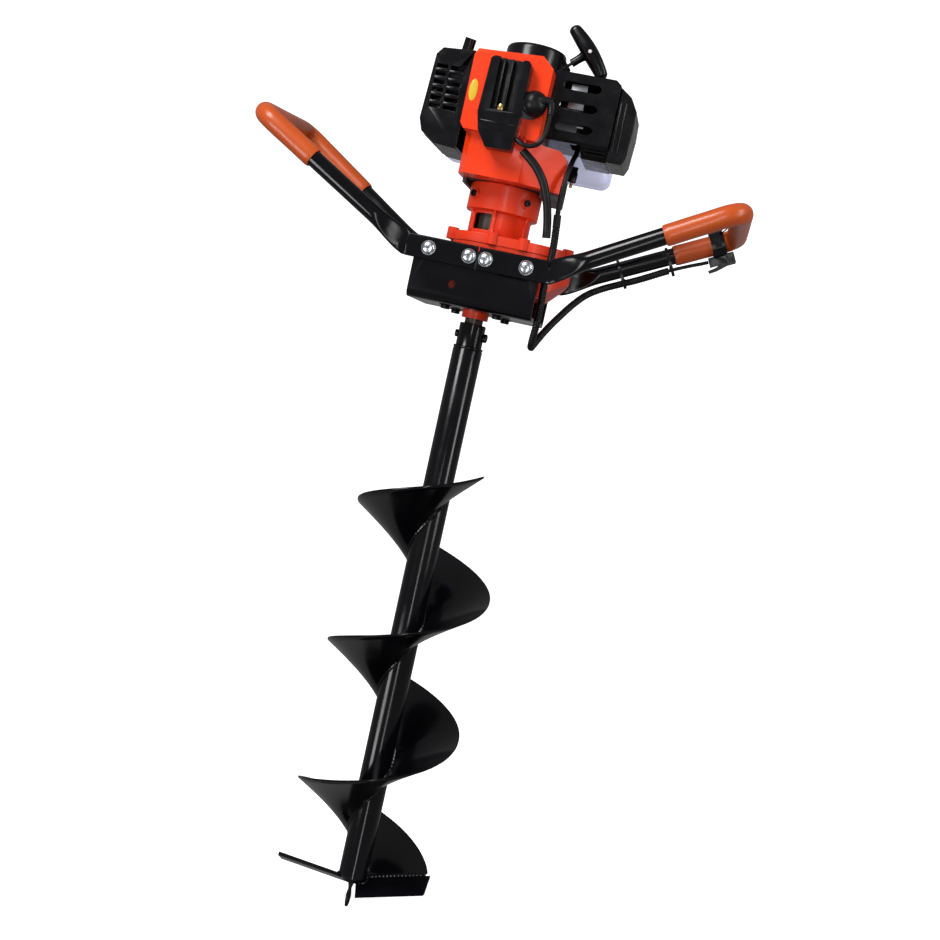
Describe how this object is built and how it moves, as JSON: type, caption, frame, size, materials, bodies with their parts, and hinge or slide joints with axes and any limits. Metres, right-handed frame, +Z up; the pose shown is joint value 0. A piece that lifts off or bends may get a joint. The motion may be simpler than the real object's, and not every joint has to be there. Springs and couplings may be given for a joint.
{
  "type": "ice fishing auger",
  "caption": "Petrol ice auger: a two-handed bracket carries a pull-start engine and gearbox above a long spiral ice bit with pitched cutter plates.",
  "frame": {"origin": "on the axis of the bit, level with the middle of the two hand grips", "axes": "+Z up along the bit towards the engine, +X to the right loop with the throttle, +Y to the fuel tank side"},
  "size_m": [0.6378, 0.2245, 1.2],
  "materials": {
    "orange_paint": "gloss enamel",
    "black_paint": "gloss powder coat",
    "black_plastic": "fine grain",
    "black_rubber": "matte",
    "grip_foam": "smooth skinned foam",
    "zinc_plate": "bright zinc",
    "steel": "machined",
    "cast_alloy": "as cast",
    "tank_plastic": "translucent moulding"
  },
  "bodies": {
    "powerhead": {"gearbox_housing": "orange_paint", "gearbox_cover": "orange_paint", "clutch_housing": "orange_paint", "engine_shroud": "orange_paint", "bracket_channel": "black_paint", "handle_left": "black_paint", "handle_right": "black_paint", "coil_cover": "black_plastic", "muffler_guard": "black_plastic", "air_shroud": "black_plastic", "filter_cap": "black_plastic", "recoil_housing": "black_plastic", "throttle_clamp": "black_plastic", "plug_boot": "black_rubber", "ignition_lead": "black_rubber", "kill_wire_sleeve": "black_rubber", "control_loom": "black_rubber", "grip_left": "grip_foam", "grip_right": "grip_foam", "screw_front_1": "zinc_plate", "screw_front_2": "zinc_plate", "screw_front_3": "zinc_plate", "screw_front_4": "zinc_plate", "screw_back_1": "zinc_plate", "screw_back_2": "zinc_plate", "screw_back_3": "zinc_plate", "screw_back_4": "zinc_plate", "floor_bolt_1": "zinc_plate", "floor_bolt_2": "zinc_plate", "floor_bolt_3": "zinc_plate", "floor_bolt_4": "zinc_plate", "muffler": "steel", "crankcase": "cast_alloy", "cylinder": "cast_alloy", "spark_plug": "cast_alloy", "carburettor": "cast_alloy", "fuel_tank": "tank_plastic"},
    "bit": {"output_shaft": "steel", "auger_tube": "black_paint", "auger_flight": "black_paint", "cutter_right": "black_paint", "cutter_left": "black_paint", "pilot_point": "black_paint", "drive_bolt": "zinc_plate"},
    "countershaft_gears": {"countershaft": "steel"},
    "clutch_drum_gear": {"clutch_drum": "steel"},
    "crank": {"crank_upper": "steel", "crank_lower": "steel", "flywheel": "cast_alloy", "clutch_rotor": "cast_alloy"},
    "piston_body": {"piston": "cast_alloy"},
    "rod_body": {"connecting_rod": "steel"},
    "pull_handle": {"starter_handle": "black_plastic", "starter_rope": "black_rubber"},
    "rope_pulley": {"recoil_pulley": "black_plastic"},
    "trigger": {"throttle_trigger": "black_plastic"},
    "stop_switch": {"kill_switch": "black_plastic"},
    "tank_cap": {"fuel_cap": "black_plastic"}
  },
  "joints": [
    {"name": "bit_spin", "type": "hinge", "parent": "powerhead", "child": "bit", "pos_m": [0, 0, -0.191], "axis": [0, 0, 1], "continuous": true},
    {"name": "countershaft_spin", "type": "hinge", "parent": "powerhead", "child": "countershaft_gears", "pos_m": [0.051, 0, -0.12], "axis": [0, 0, 1], "continuous": true},
    {"name": "clutch_drum_spin", "type": "hinge", "parent": "powerhead", "child": "clutch_drum_gear", "pos_m": [0.006, 0, -0.06], "axis": [0, 0, 1], "continuous": true},
    {"name": "crank_spin", "type": "hinge", "parent": "powerhead", "child": "crank", "pos_m": [0.006, 0, 0.09], "axis": [0, 0, 1], "continuous": true},
    {"name": "piston_stroke", "type": "slide", "parent": "powerhead", "child": "piston_body", "axis": [0, 1, 0], "range_m": [0, 0.03]},
    {"name": "rod_swing", "type": "hinge", "parent": "piston_body", "child": "rod_body", "pos_m": [0.006, -0.063, 0.09], "axis": [0, 0, 1], "range_deg": [-18, 18]},
    {"name": "starter_pull", "type": "slide", "parent": "powerhead", "child": "pull_handle", "axis": [0.7431, 0, 0.6691], "range_m": [0, 0.65], "stiffness_N_per_m": 12, "springref_m": -0.15},
    {"name": "pulley_spin", "type": "hinge", "parent": "powerhead", "child": "rope_pulley", "pos_m": [0.006, 0, 0.154], "axis": [0, 0, 1], "range_deg": [0, 1520]},
    {"name": "trigger_squeeze", "type": "hinge", "parent": "powerhead", "child": "trigger", "pos_m": [0.30604, 0.09477, -0.01768], "axis": [0, 1, 0], "range_deg": [0, 12], "stiffness_Nm_per_rad": 0.15, "springref_deg": -17.19},
    {"name": "stop_switch_slide", "type": "slide", "parent": "powerhead", "child": "stop_switch", "axis": [0.891, 0, 0.454], "range_m": [0, 0.0034]},
    {"name": "tank_cap_turn", "type": "hinge", "parent": "powerhead", "child": "tank_cap", "pos_m": [0.1, 0.078, 0.1], "axis": [0, 0, 1], "range_deg": [0, 720]}
  ],
  "couplings": [
    {"joint": "countershaft_spin", "follows": "bit_spin", "ratio": -4.1},
    {"joint": "clutch_drum_spin", "follows": "bit_spin", "ratio": 20.5},
    {"joint": "pulley_spin", "follows": "starter_pull", "rad_per_m": 40}
  ]
}
